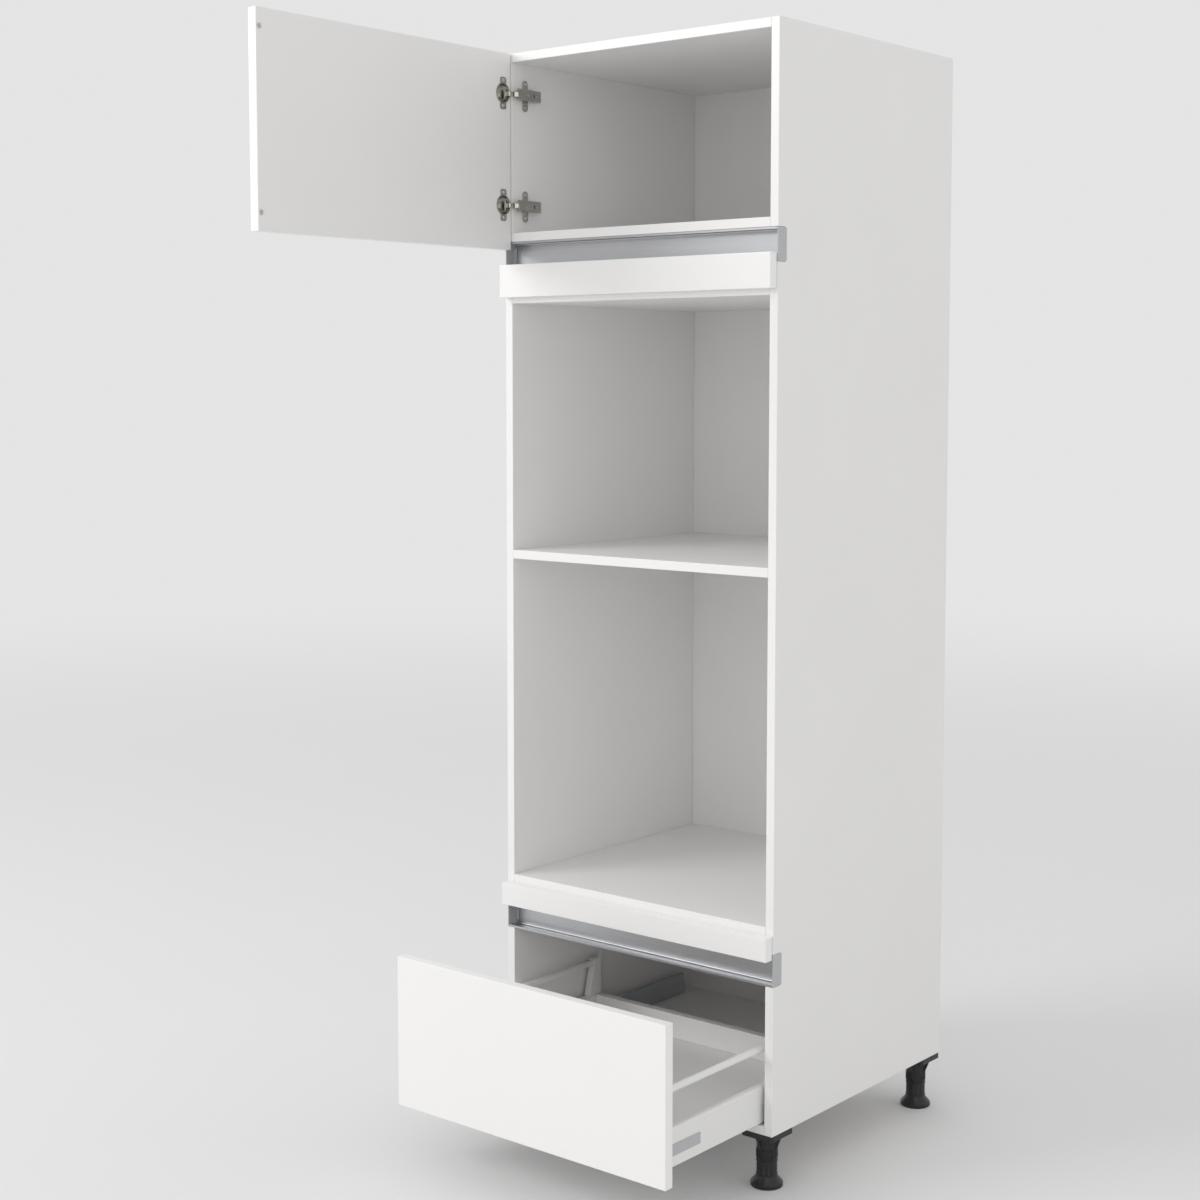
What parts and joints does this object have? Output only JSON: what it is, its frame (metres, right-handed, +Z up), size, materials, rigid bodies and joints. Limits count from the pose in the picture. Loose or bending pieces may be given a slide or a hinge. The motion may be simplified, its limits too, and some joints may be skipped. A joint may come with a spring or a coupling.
{
  "type": "tall oven housing unit",
  "caption": "Tall white kitchen carcass on legs with open oven and compact appliance niches, a hinged door above and a steel-sided drawer below, both gripped at recessed channels.",
  "frame": {"origin": "on the floor, at mid-width of the carcass, in the plane of the closed fronts' faces", "axes": "+Z up, +X to the right as seen from the front, the fronts face -Y"},
  "size_m": [0.603, 1.159, 1.964],
  "materials": {
    "white_melamine": "satin white melamine over chipboard",
    "white_front": "smooth white lacquer-like facing over chipboard",
    "anodised_aluminium": "fine brushed, anodised",
    "grey_plastic": "matt moulded",
    "nickel_steel": "bright nickel plate",
    "white_steel": "smooth white powder coat",
    "zinc_steel": "zinc plate",
    "clear_rubber": "soft clear",
    "black_plastic": "matt moulded"
  },
  "bodies": {
    "carcass": {"side_left": "white_melamine", "side_right": "white_melamine", "bottom_board": "white_melamine", "niche_floor_board": "white_melamine", "niche_shelf": "white_melamine", "niche_top_board": "white_melamine", "compartment_floor": "white_melamine", "top_board": "white_melamine", "back_panel": "white_melamine", "cross_rail_lower": "white_melamine", "cross_rail_upper": "white_melamine", "channel_lower": "anodised_aluminium", "channel_lower_cap_left": "grey_plastic", "channel_lower_cap_right": "grey_plastic", "channel_upper": "anodised_aluminium", "channel_upper_cap_left": "grey_plastic", "channel_upper_cap_right": "grey_plastic", "fascia_lower": "white_front", "fascia_upper": "white_front", "hinge_arm_upper": "nickel_steel", "hinge_plate_upper": "nickel_steel", "hinge_arm_lower": "nickel_steel", "hinge_plate_lower": "nickel_steel", "cabinet_rail_left": "zinc_steel", "cabinet_rail_right": "zinc_steel", "leg_socket_front_left": "black_plastic", "leg_socket_front_right": "black_plastic", "leg_socket_rear_left": "black_plastic", "leg_socket_rear_right": "black_plastic"},
    "door": {"door_panel": "white_front", "door_buffer_upper": "clear_rubber", "door_buffer_lower": "clear_rubber", "hinge_cup_upper": "nickel_steel", "hinge_pin_upper": "nickel_steel", "hinge_cup_lower": "nickel_steel", "hinge_pin_lower": "nickel_steel"},
    "drawer": {"drawer_front": "white_front", "drawer_side_left": "white_steel", "drawer_side_right": "white_steel", "drawer_bottom": "white_melamine", "drawer_back": "white_melamine", "front_bracket_left": "zinc_steel", "front_bracket_right": "zinc_steel", "side_cap_left": "grey_plastic", "side_cap_right": "grey_plastic", "gallery_rail_left": "white_steel", "gallery_rail_right": "white_steel", "rail_holder_front_left": "white_steel", "rail_holder_front_right": "white_steel", "rail_holder_rear_left": "white_steel", "rail_holder_rear_right": "white_steel"},
    "middle_left": {"middle_rail_left": "zinc_steel"},
    "middle_right": {"middle_rail_right": "zinc_steel"},
    "foot_front_left": {"leg_foot_front_left": "black_plastic"},
    "foot_front_right": {"leg_foot_front_right": "black_plastic"},
    "foot_rear_left": {"leg_foot_rear_left": "black_plastic"},
    "foot_rear_right": {"leg_foot_rear_right": "black_plastic"}
  },
  "joints": [
    {"name": "door_hinge", "type": "hinge", "parent": "carcass", "child": "door", "pos_m": [-0.291, 0.012, 1.7875], "axis": [0, 0, 1], "range_deg": [-10, 90]},
    {"name": "drawer_slide", "type": "slide", "parent": "carcass", "child": "drawer", "axis": [0, -1, 0], "range_m": [-0.27, 0.23]},
    {"name": "middle_left_slide", "type": "slide", "parent": "carcass", "child": "middle_left", "axis": [0, -1, 0], "range_m": [-0.135, 0.115]},
    {"name": "middle_right_slide", "type": "slide", "parent": "carcass", "child": "middle_right", "axis": [0, -1, 0], "range_m": [-0.135, 0.115]},
    {"name": "foot_front_left_turn", "type": "hinge", "parent": "carcass", "child": "foot_front_left", "pos_m": [-0.2675, 0.0545, 0.05], "axis": [0, 0, 1], "range_deg": [-720, 720]},
    {"name": "foot_front_right_turn", "type": "hinge", "parent": "carcass", "child": "foot_front_right", "pos_m": [0.2675, 0.0545, 0.05], "axis": [0, 0, 1], "range_deg": [-720, 720]},
    {"name": "foot_rear_left_turn", "type": "hinge", "parent": "carcass", "child": "foot_rear_left", "pos_m": [-0.2675, 0.5495, 0.05], "axis": [0, 0, 1], "range_deg": [-720, 720]},
    {"name": "foot_rear_right_turn", "type": "hinge", "parent": "carcass", "child": "foot_rear_right", "pos_m": [0.2675, 0.5495, 0.05], "axis": [0, 0, 1], "range_deg": [-720, 720]}
  ],
  "couplings": [
    {"joint": "middle_left_slide", "follows": "drawer_slide", "ratio": 0.5},
    {"joint": "middle_right_slide", "follows": "drawer_slide", "ratio": 0.5}
  ]
}
